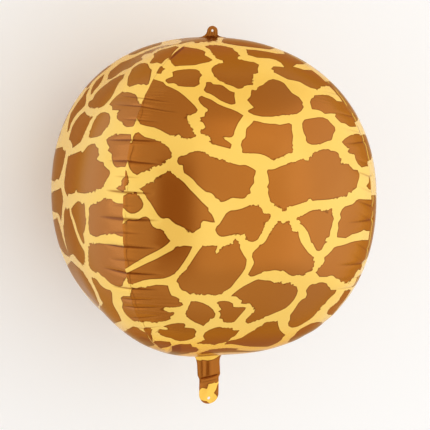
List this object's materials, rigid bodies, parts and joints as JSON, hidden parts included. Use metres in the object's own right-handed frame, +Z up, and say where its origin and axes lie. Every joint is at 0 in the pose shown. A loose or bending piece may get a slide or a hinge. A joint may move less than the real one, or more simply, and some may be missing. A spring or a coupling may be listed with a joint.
{
  "type": "foil balloon",
  "caption": "Sealed foil balloon ball with a giraffe-patch print, puckered seams, a holed hanging tab at one end and a filling tail at the other, lying on its side.",
  "frame": {"origin": "centre of the flat spot that the balloon rests on, straight below the middle of the ball", "axes": "+Y along the ball's long axis towards the hanging tab, +Z up from the surface it lies on, +X to the right of a viewer above who has the tab at the top"},
  "size_m": [0.378, 0.4777, 0.3765],
  "materials": {
    "printed_foil": "satin metallised film printed with brown patches on yellow"
  },
  "bodies": {
    "root": {"foil_envelope": "printed_foil"}
  },
  "joints": []
}
